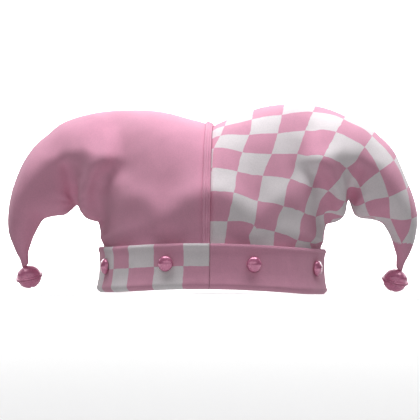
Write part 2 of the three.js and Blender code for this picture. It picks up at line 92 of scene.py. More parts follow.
# Loops of cloth round the hollow of one side, from the seam to the horn's tip.
# Outward, 1 is the crown's side and 2 the horn's far edge. Upward, 0 is the
# horn's tip and 1 its back. The first loop's low points lie on the rim. The
# last two loops are wider than the solids', for the tip sewn to its bell.
LOOP_COLUMNS = (
    "top_out", "top_up", "rise", "low_out", "low_up", "mid_out", "mid_up", "depth", "corner", "tube",
)
LOOP_TABLE = (
    (0.00, 0.90, 0.00, 1.00, 0.00, 0.00, 0.00, 1.00, 1.00, 0.00),
    (0.24, 0.95, 0.43, 1.00, -0.02, 0.17, -0.02, 0.99, 0.70, 0.00),
    (0.47, 0.99, 0.80, 1.00, 0.12, 0.32, 0.12, 0.94, 0.45, 0.00),
    (0.67, 1.00, 0.95, 1.00, 0.20, 0.50, 0.24, 0.81, 0.20, 0.10),
    (0.84, 1.00, 1.00, 1.04, 0.27, 0.70, 0.39, 0.66, 0.00, 0.55),
    (1.01, 0.99, 0.80, 1.09, 0.28, 0.93, 0.55, 0.57, 0.00, 1.00),
    (1.17, 0.97, 0.50, 1.18, 0.30, 1.16, 0.62, 0.50, 0.00, 1.00),
    (1.32, 0.94, 0.20, 1.24, 0.34, 1.28, 0.64, 0.43, 0.00, 1.00),
    (1.47, 0.90, 0.20, 1.28, 0.38, 1.38, 0.64, 0.36, 0.00, 1.00),
    (1.61, 0.83, 0.20, 1.34, 0.35, 1.47, 0.59, 0.33, 0.00, 1.00),
    (1.73, 0.76, 0.00, 1.41, 0.32, 1.57, 0.54, 0.30, 0.00, 1.00),
    (1.83, 0.67, -0.55, 1.52, 0.31, 1.68, 0.49, 0.27, 0.00, 1.00),
    (1.91, 0.56, -0.70, 1.62, 0.29, 1.77, 0.43, 0.23, 0.00, 1.00),
    (1.97, 0.45, -0.70, 1.68, 0.24, 1.83, 0.35, 0.19, 0.00, 1.00),
    (2.00, 0.32, -0.20, 1.72, 0.19, 1.86, 0.26, 0.15, 0.00, 1.00),
    (1.98, 0.19, 0.00, 1.75, 0.14, 1.87, 0.17, 0.11, 0.00, 1.00),
    (1.92, 0.09, 0.00, 1.78, 0.08, 1.85, 0.08, 0.06, 0.00, 1.00),
    (1.87, 0.03, 0.00, 1.78, 0.04, 1.83, 0.03, 0.03, 0.00, 1.00),
    (1.85, -0.01, 0.00, 1.78, 0.01, 1.82, 0.00, 0.02, 0.00, 1.00),
)
ELBOW_ROW = 8
ELBOW_RISE = 1.1  # how far the checked horn's elbow tuck stands higher, in rises
LAST_PLACE = len(LOOP_TABLE) - 1
INNER_LAST_PLACE = 15.2
TOP_LINE_POINTS = 400
EDGE_POINTS = 241  # on each half of a loop's front, closest at its pole

# Folds seen from the front: depth is the share of the local depth that the
# cloth moves, width a share of the horn's reach, and the line runs in outward
# and upward shares. The first two end lower than the solids'.
FOLD_TABLE = (
    ("elbow tuck", -0.13, 0.12, ((1.28, 0.38), (1.31, 0.50), (1.35, 0.61))),
    ("elbow ridge", 0.07, 0.10, ((1.20, 0.33), (1.17, 0.50), (1.08, 0.62))),
    ("side tuck", -0.09, 0.14, ((1.09, 0.28), (1.07, 0.42), (0.99, 0.55), (0.87, 0.63))),
    ("horn crest", 0.06, 0.10, ((1.94, 0.37), (1.61, 0.66), (1.20, 0.73), (0.87, 0.66))),
    ("crown crest", 0.03, 0.14, ((0.82, 0.50), (0.63, 0.42), (0.44, 0.31), (0.07, 0.46))),
)


# Shape of the crown

def outward(share):
    return np.minimum(share, 1) * CROWN_HALF_WIDTH + np.maximum(share - 1, 0) * HORN_REACH


def upward(share):
    return HORN_TIP_HEIGHT + share * (PLAIN_TOP - HORN_TIP_HEIGHT)


def line_places(line):
    """A line's outward and upward shares in metres."""
    return [(float(outward(out)), float(upward(up))) for out, up in line]


def smooth(value, low, high):
    t = np.clip((value - low) / (high - low), 0, 1)
    return t * t * (3 - 2 * t)


FLAT_SIDE_SHARE = 0.35  # of the half depth, where the lower edge lies flat


def brow_lift(y):
    """How far the lower edge arches up over the brow and the nape."""
    share = (np.abs(y) / CROWN_HALF_DEPTH - FLAT_SIDE_SHARE) / (1 - FLAT_SIDE_SHARE)
    return BROW_ARCH * np.clip(share, 0, 1) ** 2


def loop_rows(extra_rise):
    table = {name: np.array(column) for name, column in zip(LOOP_COLUMNS, zip(*LOOP_TABLE))}
    rise = table["rise"] * extra_rise
    rows = {
        "top_x": outward(table["top_out"]),
        "top_z": upward(table["top_up"]) + rise,
        "low_x": outward(table["low_out"]),
        "low_z": upward(table["low_up"]),
        "mid_x": outward(table["mid_out"]),
        "mid_z": upward(table["mid_up"]) + rise / 2,
        "depth": table["depth"] * CROWN_HALF_DEPTH,
        "corner": table["corner"],
        "tube": table["tube"],
    }
    rows["low_z"][ELBOW_ROW] += ELBOW_RISE * extra_rise
    rows["low_z"][0] = RIM_HEIGHT
    rows["mid_z"][0] = RIM_HEIGHT
    return rows


def sections_at(rows, places):
    """The rows' values at places between them, on smooth curves, as columns."""
    index = np.minimum(places.astype(int), LAST_PLACE - 1)
    t = (places - index)[:, None]
    found = {}
    for name, values in rows.items():
        a, b, c, d = (values[np.clip(index + step, 0, LAST_PLACE)][:, None] for step in (-1, 0, 1, 2))
        bend = 2 * a - 5 * b + 4 * c - d
        twist = -a + 3 * b - 3 * c + d
        found[name] = b + t * (c - a + t * (bend + t * twist)) / 2
    for name in ("corner", "tube"):
        found[name] = np.clip(found[name], 0, 1)
    return found


class Form:
    """One half of the crown: its loops, and the line of their top points."""

    def __init__(self, extra_rise):
        self.rows = loop_rows(extra_rise)
        tops = sections_at(self.rows, np.linspace(0, LAST_PLACE / 2, TOP_LINE_POINTS))
        self.top_x = tops["top_x"][:, 0]
        self.top_z = tops["top_z"][:, 0]

    def height_over(self, x):
        return np.interp(x, self.top_x, self.top_z)


def distance_to_line(x, z, line):
    nearest = np.full(x.shape, np.inf)
    for (x0, z0), (x1, z1) in zip(line, line[1:]):
        along = ((x - x0) * (x1 - x0) + (z - z0) * (z1 - z0)) / ((x1 - x0) ** 2 + (z1 - z0) ** 2)
        t = np.clip(along, 0, 1)
        nearest = np.minimum(nearest, np.hypot(x - x0 - t * (x1 - x0), z - z0 - t * (z1 - z0)))
    return nearest


def fold_share(x, z):
    share = np.ones(x.shape)
    for _, depth, width, line in FOLD_TABLE:
        distance = distance_to_line(x, z, line_places(line))
        share += depth * np.exp(-((distance / (width * HORN_REACH)) ** 2))
    return share


BULGE_RISE = 8 * MM  # height over which the crown swells out, at the sides
BULGE_RISE_FRONT = 20 * MM  # at the front and the back, in the scene alone
BULGE_FADE_START = 1.9  # in band heights
BULGE_FADE_END = 3.4
LIFT_FADE_END = 1.6


def settle(x, y, z, tube):
    """The crown swells over the band's edge, and its lower part follows the band's arch."""
    lift = brow_lift(y)
    start = BAND_HEIGHT + lift + GAP
    frontal = 1 - np.minimum(1, np.abs(x) / CROWN_HALF_WIDTH) ** 3
    swell = smooth((z - start) / (BULGE_RISE + (BULGE_RISE_FRONT - BULGE_RISE) * frontal), 0, 1)
    fade = smooth(z, BULGE_FADE_START * BAND_HEIGHT, BULGE_FADE_END * BAND_HEIGHT)
    away_x, away_y = x / CROWN_HALF_WIDTH**2, y / CROWN_HALF_DEPTH**2
    length = np.hypot(away_x, away_y) + TINY
    amount = CROWN_BULGE * swell * (1 - fade) * (1 - tube)
    lift_share = 1 - smooth(z, BAND_HEIGHT, LIFT_FADE_END * BAND_HEIGHT)
    return x + amount * away_x / length, y + amount * away_y / length, z + lift * lift_share


def front_points(form, section, t):
    """Points on the front of loops, from their tops (0) to their low points (1)."""
    def path(axis):
        top, mid, low = (section[f"{name}_{axis}"] for name in ("top", "mid", "low"))
        angled = np.where(t < 0.5, top + (mid - top) * 2 * t, mid + (low - mid) * (2 * t - 1))
        rounded = (1 - t) ** 2 * top + 2 * t * (1 - t) * mid + t**2 * low
        return rounded + (angled - rounded) * section["corner"]

    x, z = path("x"), path("z")
    side = np.maximum(0, 1 - (x / np.maximum(CROWN_HALF_WIDTH, section["low_x"])) ** 2)
    rise = np.minimum(1, z / form.height_over(x))
    as_crown = CROWN_HALF_DEPTH * np.sqrt(side) * (1 - rise**ARCH_POWER) ** (1 / ARCH_POWER)
    as_tube = section["depth"] * np.sqrt(4 * t * (1 - t))
    depth = as_crown + (as_tube - as_crown) * section["tube"]
    return np.stack(settle(x, -depth * fold_share(x, z), z, section["tube"]), axis=-1)


def even_shares(form, section, from_top, steps):
    """The shares along half a loop's front that split its length evenly."""
    dense = np.linspace(0, 1, EDGE_POINTS) ** 3 / 2
    if not from_top:
        dense = 1 - dense
    points = front_points(form, section, dense[None, :])
    lengths = np.linalg.norm(np.diff(points, axis=1), axis=2).cumsum(axis=1)
    lengths = np.concatenate([np.zeros((len(lengths), 1)), lengths], axis=1)
    wanted = np.linspace(0, 1, steps + 1)
    shares = np.stack([np.interp(wanted * row[-1], row, dense) for row in lengths])
    return shares if from_top else shares[:, ::-1]


def front_grid(form, places, top_steps, low_steps):
    """Rows of points from the tops to the low points of the loops at some places."""
    section = sections_at(form.rows, places)
    upper = even_shares(form, section, True, top_steps)
    lower = even_shares(form, section, False, low_steps)
    grid = front_points(form, section, np.concatenate([upper, lower[:, 1:]], axis=1))
    grid[:, 0, 1] = 0
    grid[:, -1, 1] = 0
    return grid


# Where the printed lines of the checked half cross, seen from the front, in
# photo pixels. Each entry holds its row's number, the number of its first
# column and its crossings from there outward. Rows run along the horn and
# count from its back downward. A part of a row stands where a column passes
# the outline, the band or the middle between two rows, and a half column
# between two columns.
PHOTO_CENTRE_X = 212.7
PHOTO_BASE_Y = 293.2
PHOTO_TILT = 0.0099  # the photo's base line drops this much for each pixel
PHOTO_SCALE = 0.83 * MM
PHOTO_AZIMUTH = math.radians(1.2)
CHECK_ROWS = (
    (0.2, 1, ((226, 121), (252, 110), (283, 105), (315, 105))),
    (0.5, 5, ((345, 116), (373, 132), (395, 157), (408, 186), (417, 216))),
    (1, 1, (
        (224, 129), (251, 121), (281, 116), (312, 112), (342, 120),
        (371, 136), (392, 161), (404, 189), (410, 219),
    )),
    (2, 1, (
        (219, 137), (247, 136), (276, 135), (304, 130), (334, 134),
        (362, 148), (378, 172), (388, 197), (389, 219),
    )),
    (1.25, 9.5, ((408, 231),)),
    (1.5, 10, ((401, 244),)),
    (1.75, 9.5, ((395.5, 232),)),
    (3.5, 6, ((335, 183),)),
    (4.5, 5, ((308, 200), (321, 206), (334.5, 211.5))),
    (3, 1, (
        (214, 150), (242, 154), (270, 155), (296, 155), (322, 158),
        (345, 170), (358, 188), (364, 203), (370, 216),
    )),
    (4, 1, ((211, 170), (236, 173), (262, 177), (289, 181), (312, 187), (328, 194), (342, 201))),
    (5, 2, ((232, 195), (257, 202), (282, 207), (304, 214), (317, 217), (325.5, 217.3))),
    (5, 7.5, ((338, 215.5),)),
    (6, 2, ((226, 222), (253, 226), (275, 233), (296, 240), (310, 243))),
    (6.85, 2, ((224, 243),)),
    (6.75, 3, ((250, 244),)),
    (6.5, 4, ((274, 245),)),
    (6.25, 5, ((294, 246),)),
    (6.1, 6, ((310, 247),)),
)
LAST_COLUMN = 10  # beyond it the horn's end is one plain square
END_SQUARE = (10.5, 0.5)
MEETING_ROW = 1.5  # the lines on both sides of it meet at the last column
MEETING_REACH = 1.49  # the most that a row's number differs from it near there
LEAST_LEFT = 0.001  # of the last column, where the lines meet
CHART_PLACES, CHART_TOP_STEPS, CHART_LOW_STEPS = 361, 60, 40
POINTS_AT_ONCE = 5000


def arc_lengths(grid, axis):
    """Lengths along the rows (axis 1) or the columns (axis 0) of a grid of points."""
    steps = np.linalg.norm(np.diff(grid, axis=axis), axis=2).cumsum(axis=axis)
    start = np.zeros_like(steps[:, :1] if axis == 1 else steps[:1])
    return np.concatenate([start, steps], axis=axis)


def cloth_places(grid):
    """Each point's way along the line of tops, and its way down the cloth from there."""
    along = arc_lengths(grid[:, :1], 0)
    return np.stack([np.broadcast_to(along, grid.shape[:2]), arc_lengths(grid, 1)], axis=-1)


def plate_terms(places, knots):
    """The terms of a thin plate's bending at places, for loads at the knots."""
    squared = ((places[:, None, :] - knots[None, :, :]) ** 2).sum(axis=2)
    bend = squared * np.log(squared + TINY)
    return np.concatenate([bend, np.ones((len(places), 1)), places], axis=1)


class CheckPrint:
    """Numbers of the printed columns and rows at any place of the cloth."""

    def __init__(self, form):
        places = np.linspace(0, LAST_PLACE, CHART_PLACES)
        grid = front_grid(form, places, CHART_TOP_STEPS, CHART_LOW_STEPS)
        cloth = cloth_places(grid).reshape(-1, 2)
        seen_x = grid[..., 0] + grid[..., 1] * math.tan(PHOTO_AZIMUTH)
        seen = np.stack([seen_x, grid[..., 2]], axis=-1).reshape(-1, 2)
        knots, numbers = [], []
        for row, column, crossings in CHECK_ROWS:
            for step, (pixel_x, pixel_y) in enumerate(crossings):
                off = pixel_x - PHOTO_CENTRE_X
                place = np.array([off, PHOTO_BASE_Y + PHOTO_TILT * off - pixel_y]) * PHOTO_SCALE
                knots.append(cloth[((seen - place) ** 2).sum(axis=1).argmin()])
                numbers.append((column + step, row))
        self.unit = CROWN_HALF_DEPTH
        self.knots = np.array(knots) / self.unit
        terms = plate_terms(self.knots, self.knots)
        count = len(knots)
        system = np.zeros((count + 3, count + 3))
        system[:count] = terms
        system[count:, :count] = terms[:, count:].T
        wanted = np.zeros((count + 3, 2))
        wanted[:count] = numbers
        self.weights = np.linalg.solve(system, wanted)

    def at(self, cloth):
        flat = cloth.reshape(-1, 2) / self.unit
        parts = np.array_split(flat, max(1, len(flat) // POINTS_AT_ONCE))
        found = np.concatenate([plate_terms(part, self.knots) @ self.weights for part in parts])
        left = np.clip(LAST_COLUMN - found[:, 0], LEAST_LEFT, 1)
        found[:, 1] = MEETING_ROW + (found[:, 1] - MEETING_ROW) / left
        near_end = left < 1
        least, most = MEETING_ROW - MEETING_REACH, MEETING_ROW + MEETING_REACH
        found[near_end, 1] = np.clip(found[near_end, 1], least, most)
        found[found[:, 0] > LAST_COLUMN] = END_SQUARE
        return found.reshape(cloth.shape)


# Meshes

class Builder:
    """A mesh from grids of points, with a place on the cloth for each corner."""

    def __init__(self):
        self.points, self.faces, self.corners, self.marks = [], [], [], []
        self.count = 0

    def add(self, points):
        flat = np.asarray(points).reshape(-1, 3)
        first = self.count
        self.points.append(flat)
        self.count += len(flat)
        return np.arange(first, self.count).reshape(np.asarray(points).shape[:-1])

    def quads(self, index, cloth=None, mark=0, flip=False):
        """Faces between the rows of a grid of point numbers."""
        def corners(values):
            found = [values[:-1, :-1], values[:-1, 1:], values[1:, 1:], values[1:, :-1]]
            return found[::-1] if flip else found

        faces = np.stack(corners(index), axis=-1).reshape(-1, 4)
        self.faces.extend(faces.tolist())
        if cloth is None:
            cloth = np.zeros(index.shape + (4,))
        self.corners.append(np.stack(corners(cloth), axis=-2).reshape(-1, cloth.shape[-1]))
        self.marks.extend([mark] * len(faces))

    def polygon(self, index):
        self.faces.append([int(item) for item in index])
        self.corners.append(np.zeros((len(index), 4)))
        self.marks.append(0)

    def make(self, name, materials):
        mesh = bpy.data.meshes.new(name)
        mesh.from_pydata(np.concatenate(self.points).tolist(), [], self.faces)
        corners = np.concatenate(self.corners)
        for layer_name, columns in (("Cloth", slice(0, 2)), ("Print", slice(2, 4))):
            layer = mesh.uv_layers.new(name=layer_name)
            layer.data.foreach_set("uv", corners[:, columns].ravel())
        for material in materials:
            mesh.materials.append(material)
        mesh.polygons.foreach_set("material_index", self.marks)
        mesh.polygons.foreach_set("use_smooth", [True] * len(mesh.polygons))
        mesh.validate()
        mesh.update()
        piece = bpy.data.objects.new(name, mesh)
        bpy.context.scene.collection.objects.link(piece)
        return piece


def grid_normals(grid, closed):
    """Unit normals of a grid: its rows are the first axis, and closed joins each row's ends."""
    if closed:
        around = np.roll(grid, -1, axis=1) - np.roll(grid, 1, axis=1)
    else:
        around = np.gradient(grid, axis=1)
    normals = np.cross(around, np.gradient(grid, axis=0))
    return normals / (np.linalg.norm(normals, axis=2, keepdims=True) + TINIEST)


NOISE_STEP = (7.13, 3.71, 5.39)  # from one seed's place in the noise to the next


def ripple(points, size, seed):
    """Smooth noise from -1 to 1 at points, with bumps of about a given size."""
    offset = Vector([seed * step for step in NOISE_STEP])
    flat = points.reshape(-1, 3) / size
    values = [noise.noise(Vector(point) + offset) for point in flat.tolist()]
    return np.array(values).reshape(points.shape[:-1])


def to_side(points, side):
    """Points of one half, moved off the seam by half the gap and to its own side."""
    return (points + np.array([GAP / 2, 0, 0])) * np.array([side, 1, 1])


def facing(place, direction, forward="Z"):
    """The frame at a place whose forward axis runs along a direction."""
    return Matrix.Translation(place) @ direction.to_track_quat(forward, "Y").to_matrix().to_4x4()


# The crown

TOP_STEPS = 72
LOW_STEPS = 48
SEAM_PLACES = (0, 0.01, 0.03, 0.06, 0.10, 0.15, 0.21)
FIRST_EVEN_PLACE = 0.3
PLACE_STEP = 0.1
INNER_PLACE_STEP = 0.3
SEAM_PINCH = 0.9 * MM
SEAM_PINCH_REACH = 2.2 * MM
RELIEF_FADE = (2 * MM, 20 * MM)  # out from the loops' tops and low points
RELIEF_RISE = 14 * MM  # the height over the band in which the relief starts
WAVES = ((38 * MM, 0.8 * MM), (15 * MM, 0.28 * MM))  # size and height
GATHER_DEPTH = 0.35 * MM
GATHER_START = 12 * MM
GATHER_REACH = 30 * MM
GATHER_FADE = (3 * MM, 18 * MM)
GATHER_COUNT = 9
GATHER_BEND = 3  # how much noise of the size below bends the gathers, in radians
GATHER_BEND_SIZE = 20 * MM
GATHER_OUT, GATHER_UP = 1.28, 0.38
END_SHARES = (0.96, 0.85, 0.65, 0.35)  # the rings that round off a closed end


def crown_places(last, step):
    return np.concatenate([SEAM_PLACES, np.arange(FIRST_EVEN_PLACE, last - step / 2, step), [last]])


# The crest between the lit top and the tucked cloth below it, as outward and
# upward shares from the horn's far side to the seam
CREST_LINE = (
    (1.99, 0.16), (1.94, 0.32), (1.87, 0.44), (1.78, 0.53), (1.61, 0.62), (1.36, 0.67),
    (1.13, 0.69), (0.98, 0.67), (0.87, 0.64), (0.82, 0.58), (0.83, 0.51), (0.79, 0.45),
    (0.62, 0.42), (0.54, 0.37), (0.44, 0.28), (0.25, 0.36), (0.09, 0.45), (-0.05, 0.48),
)
CREST_HEIGHT = 1.3 * MM
CREST_WIDTH = 14 * MM
CREST_SHIFT = 0.5  # in widths, towards the lower side
CREST_STEPS = 12
CREST_FADE = (3, 6)  # in squares of the width
CREASE_TABLE = (  # height, width and line of each smaller crease
    (-1.8 * MM, 5 * MM, ((1.28, 0.38), (1.31, 0.48))),
    (-1.2 * MM, 5 * MM, ((1.28, 0.38), (1.33, 0.54), (1.37, 0.62))),
    (1.6 * MM, 6 * MM, ((1.24, 0.38), (1.21, 0.50))),
    (1.2 * MM, 6 * MM, ((1.24, 0.38), (1.19, 0.54), (1.09, 0.62))),
    (-1.6 * MM, 7 * MM, ((1.06, 0.28), (1.07, 0.46))),
    (-1.4 * MM, 7 * MM, ((1.06, 0.28), (1.07, 0.45), (0.98, 0.58), (0.87, 0.63))),
    (0.9 * MM, 9 * MM, ((1.88, 0.24), (1.70, 0.40), (1.50, 0.50))),
    (-1.7 * MM, 9 * MM, ((0.92, 0.88), (0.86, 0.76), (0.81, 0.62), (0.82, 0.50))),
    (0.8 * MM, 9 * MM, ((0.14, 0.86), (0.16, 0.66), (0.22, 0.46))),
    (-0.9 * MM, 8 * MM, ((0.93, 0.95), (0.98, 0.84), (1.03, 0.74))),
    (0.8 * MM, 9 * MM, ((1.12, 0.92), (1.22, 0.84), (1.38, 0.78))),
)


def crest_relief(x, z):
    """A ridge on the upper side of the crest line and a hollow on its lower side."""
    line = np.array(line_places(CREST_LINE))
    steps = np.linspace(0, len(line) - 1, (len(line) - 1) * CREST_STEPS + 1)
    path = np.stack([np.interp(steps, np.arange(len(line)), axis) for axis in line.T], axis=-1)
    along = np.gradient(path, axis=0)
    along /= np.linalg.norm(along, axis=1, keepdims=True)
    weights, sides, nearest = TINIEST, 0, np.full(x.shape, np.inf)
    for (path_x, path_z), (along_x, along_z) in zip(path, along):
        away_x, away_z = x - path_x, z - path_z
        squared = (away_x**2 + away_z**2) / CREST_WIDTH**2
        weight = np.exp(-2 * squared)
        weights = weights + weight
        sides = sides + weight * (away_x * along_z - away_z * along_x) / CREST_WIDTH
        nearest = np.minimum(nearest, squared)
    side = sides / weights + CREST_SHIFT
    swing = side * np.exp(0.5 - side**2) * math.sqrt(2)  # from -1 to 1
    return CREST_HEIGHT * swing * (1 - smooth(nearest, *CREST_FADE))


def cloth_relief(loops, seed):
    """How far the cloth lies out from its plain form at each point."""
    x, z = loops[..., 0], loops[..., 2]
    relief = crest_relief(x, z)
    for height, width, line in CREASE_TABLE:
        relief += height * np.exp(-((distance_to_line(x, z, line_places(line)) / width) ** 2))
    off_middle = np.abs(loops[..., 1])
    relief *= smooth(off_middle, *RELIEF_FADE)
    for size, height in WAVES:
        relief += height * ripple(loops, size, seed)
    across = x - float(outward(GATHER_OUT))
    up = z - float(upward(GATHER_UP))
    far = np.hypot(across, up)
    near = np.exp(-((far / GATHER_REACH) ** 2)) * smooth(far, 0, GATHER_START)
    bend = GATHER_BEND * ripple(loops, GATHER_BEND_SIZE, seed + 1)
    fan = np.cos(GATHER_COUNT * np.arctan2(up, across) + bend)
    relief += GATHER_DEPTH * near * fan * smooth(off_middle, *GATHER_FADE)
    pinch = SEAM_PINCH * np.exp(-((x / SEAM_PINCH_REACH) ** 2))
    return (relief - pinch) * smooth(z, BAND_HEIGHT, BAND_HEIGHT + RELIEF_RISE)


def crown_loops(form, places, seed):
    """Closed loops of the finished outer face, with their normals."""
    front = front_grid(form, places, TOP_STEPS, LOW_STEPS)
    back = front[:, -2:0:-1] * np.array([1, -1, 1])
    loops = np.concatenate([front, back], axis=1)
    normals = grid_normals(loops, closed=True)
    seam = normals[0]
    from_top = np.minimum(np.arange(len(seam)), len(seam) - np.arange(len(seam)))
    seam[from_top <= TOP_STEPS, 0] = 0
    seam[from_top >= TOP_STEPS, 2] = 0
    seam /= np.linalg.norm(seam, axis=1, keepdims=True)
    loops = loops + normals * cloth_relief(loops, seed)[..., None]
    return loops, normals, front


def cloth_corners(front, check_print):
    """Cloth and print numbers from the tops to the low points. The back mirrors the front."""
    cloth = cloth_places(front)
    printed = cloth * 0 if check_print is None else check_print.at(cloth)
    return np.concatenate([cloth, printed], axis=2)


def make_crown(name, form, side, check_print, materials, seed):
    half = TOP_STEPS + LOW_STEPS
    builder = Builder()

    def skin(places, inward, flip, mark):
        loops, normals, front = crown_loops(form, places, seed)
        points = to_side(loops - normals * inward, side)
        index = builder.add(points)
        closed = np.concatenate([index, index[:, :1]], axis=1)
        corners = cloth_corners(front, check_print)
        builder.quads(closed[:, : half + 1], corners, mark, flip)
        builder.quads(closed[:, half:], corners[:, ::-1], mark, flip)
        return index, points

    outer, outer_points = skin(crown_places(LAST_PLACE, PLACE_STEP), 0, side < 0, 0)
    inner_places = crown_places(INNER_LAST_PLACE, INNER_PLACE_STEP)
    inner, inner_points = skin(inner_places, CROWN_WALL, side > 0, 1)
    rim = np.stack([np.append(inner[0], inner[0, 0]), np.append(outer[0], outer[0, 0])])
    builder.quads(rim, mark=1, flip=side < 0)
    beyond = np.array([0, 0, -TIP_ROUND - TIP_LAP])
    close_end(builder, outer[-1], outer_points[-1], beyond, side < 0)
    close_end(builder, inner[-1], inner_points[-1], np.zeros(3), side > 0)
    return builder.make(name, materials)


def close_end(builder, ring, points, beyond, flip):
    """A rounded end over the last ring of a skin."""
    middle = points.mean(axis=0)
    centre = middle + beyond
    rings = [ring]
    for share in END_SHARES:
        drop = beyond * math.sqrt(1 - share**2) - beyond
        rings.append(builder.add(centre + (points - middle) * share + drop))
    stack = np.stack(rings)
    builder.quads(np.concatenate([stack, stack[:, :1]], axis=1), flip=flip)
    pole = int(builder.add(centre[None, :])[0])
    last = rings[-1]
    for first, second in zip(last, np.roll(last, -1)):
        builder.polygon([second, first, pole] if flip else [first, second, pole])


# The welt: a folded hem on the plain half's edge of the seam

WELT_STEPS = 120
WELT_PROFILE = (  # across the hem from the seam, and up from the crown, as shares
    (0.00, 0.10), (0.03, 0.62), (0.08, 0.92), (0.14, 1.00), (0.22, 0.86),
    (0.28, 0.20), (0.34, 0.84), (0.44, 1.00), (0.54, 0.84), (0.60, 0.18),
    (0.66, 0.78), (0.78, 0.92), (0.90, 0.80), (0.97, 0.40), (1.00, 0.10),
)
WELT_TUCK = 5 * MM  # the length of each end that is pressed under the band
WELT_TUCK_THICK = 0.45  # as a share of the hem's thickness
WELT_WAVE, WELT_WAVE_SIZE = 0.10, 9 * MM  # share of the thickness that varies
WELT_LEAN, WELT_LEAN_SIZE = 0.05, 16 * MM  # share of the way from the seam


def welt_base(form, x_values):
    """Lines over the crown along the seam, from the band's front edge to its back edge."""
    section = sections_at(form.rows, np.zeros(1))
    shares = even_shares(form, section, True, WELT_STEPS)
    edge = front_points(form, section, shares)[0]
    kept = edge[:, 2] > BAND_HEIGHT + BROW_ARCH + GAP - WELT_TUCK
    seam = np.clip(1 - shares[0] * 2, 0, 1)[kept]
    front = []
    for x in x_values:
        tall = form.height_over(x)
        z = RIM_HEIGHT + (tall - RIM_HEIGHT) * seam
        side = math.sqrt(1 - (x / CROWN_HALF_WIDTH) ** 2)
        y = -CROWN_HALF_DEPTH * side * (1 - np.minimum(1, z / tall) ** ARCH_POWER) ** (1 / ARCH_POWER)
        y *= fold_share(np.full(z.shape, x), z)
        front.append(np.stack(settle(np.full(z.shape, x), y, z, 0), axis=-1))
    front = np.array(front)
    front[:, 0, 1] = 0
    back = front[:, :0:-1] * np.array([1, -1, 1])
    return np.concatenate([back, front], axis=1)


def make_welt(name, form, side, materials, seed):
    profile = np.array(WELT_PROFILE)
    base = welt_base(form, profile[:, 0] * WELT_WIDTH)
    normals = grid_normals(base, closed=False)
    normals[0, :, 0] = 0
    normals /= np.linalg.norm(normals, axis=2, keepdims=True)
    base = base + normals * cloth_relief(base, seed)[..., None]
    from_end = np.minimum(base[0, :, 2] - base[0, :, 2].min(), WELT_TUCK) / WELT_TUCK
    thin = WELT_TUCK_THICK + (1 - WELT_TUCK_THICK) * from_end
    wave = 1 + WELT_WAVE * ripple(base, WELT_WAVE_SIZE, seed + 4)
    heights = GAP + SEAM_PINCH + profile[:, 1][:, None] * (WELT_THICK - GAP) * thin[None, :] * wave
    upper = base + normals * heights[..., None]
    upper[..., 0] *= 1 + WELT_LEAN * ripple(base[:1], WELT_LEAN_SIZE, seed + 5)
    under = base + normals * (GAP / 2)
    builder = Builder()
    top = builder.add(to_side(upper, side))
    low = builder.add(to_side(under, side))
    across = np.broadcast_to(profile[:, :1] * WELT_WIDTH, top.shape)
    cloth = np.stack([across, arc_lengths(base, 1)], axis=-1)
    corners = np.concatenate([cloth, cloth * 0], axis=2)
    flip = side < 0
    builder.quads(top, corners, flip=flip)
    builder.quads(low, corners, flip=not flip)
    for edge, turn in ((0, not flip), (-1, flip)):
        builder.quads(np.stack([top[edge], low[edge]]), flip=turn)
        builder.quads(np.stack([top[:, edge], low[:, edge]]), flip=not turn)
    return builder.make(name, materials)


# The band

BAND_STEPS = 220
BAND_FINE = 44
BAND_SOFTEN = (0.25, 0.5, 0.25)
BAND_TABLE = (  # up the band's face, and how much of the bulge it stands out there
    (0.00, -0.50),
    (0.03, 0.40),
    (0.07, 0.85),
    (0.11, 1.00),
    (0.17, 0.75),
    (0.25, 0.45),
    (0.36, 0.18),
    (0.50, 0.04),
    (0.66, 0.00),
    (0.80, 0.00),
    (0.88, 0.20),
    (0.92, 0.52),
    (0.96, 0.62),
    (1.00, 0.05),
)
BAND_WAVES = ((0.30 * MM, 16 * MM), (0.12 * MM, 5 * MM))  # height and size
BAND_EDGE_WAVE, BAND_EDGE_WAVE_SIZE = 0.25 * MM, 22 * MM
BAND_SEEDS = (11, 17)
# The upright lines of the band's checks, from the seam at the front round to
# the back, as they stand in the photo and evenly behind it
BAND_LINES = np.array((0, 21.5, 48, 76, 99, 119, 143, 167, 191, 215, 239, 263, 287, 311)) * MM
BAND_FIRST_LINE = 1.001  # a little over the whole number, so that the seam's edge has one colour
BAND_ROW_UP = 19 * MM
STUD_UP = 0.57 * BAND_HEIGHT
DIMPLE_DEPTH = 0.35 * MM
DIMPLE_REACH = 10 * MM


def stud_angle(index):
    return 2 * math.pi * (index + 0.5) / STUD_COUNT - math.pi / 2


def band_out(height):
    table = np.array(BAND_TABLE)
    return BAND_FACE + BAND_BULGE * np.interp(height / BAND_HEIGHT, table[:, 0], table[:, 1])


def around_band(angle, out, height):
    x = CROWN_HALF_WIDTH * np.cos(angle)
    y = CROWN_HALF_DEPTH * np.sin(angle)
    away_x, away_y = x / CROWN_HALF_WIDTH**2, y / CROWN_HALF_DEPTH**2
    length = np.hypot(away_x, away_y)
    moved_x, moved_y = x + out * away_x / length, y + out * away_y / length
    return np.stack([moved_x, moved_y, height + brow_lift(y)], axis=-1)


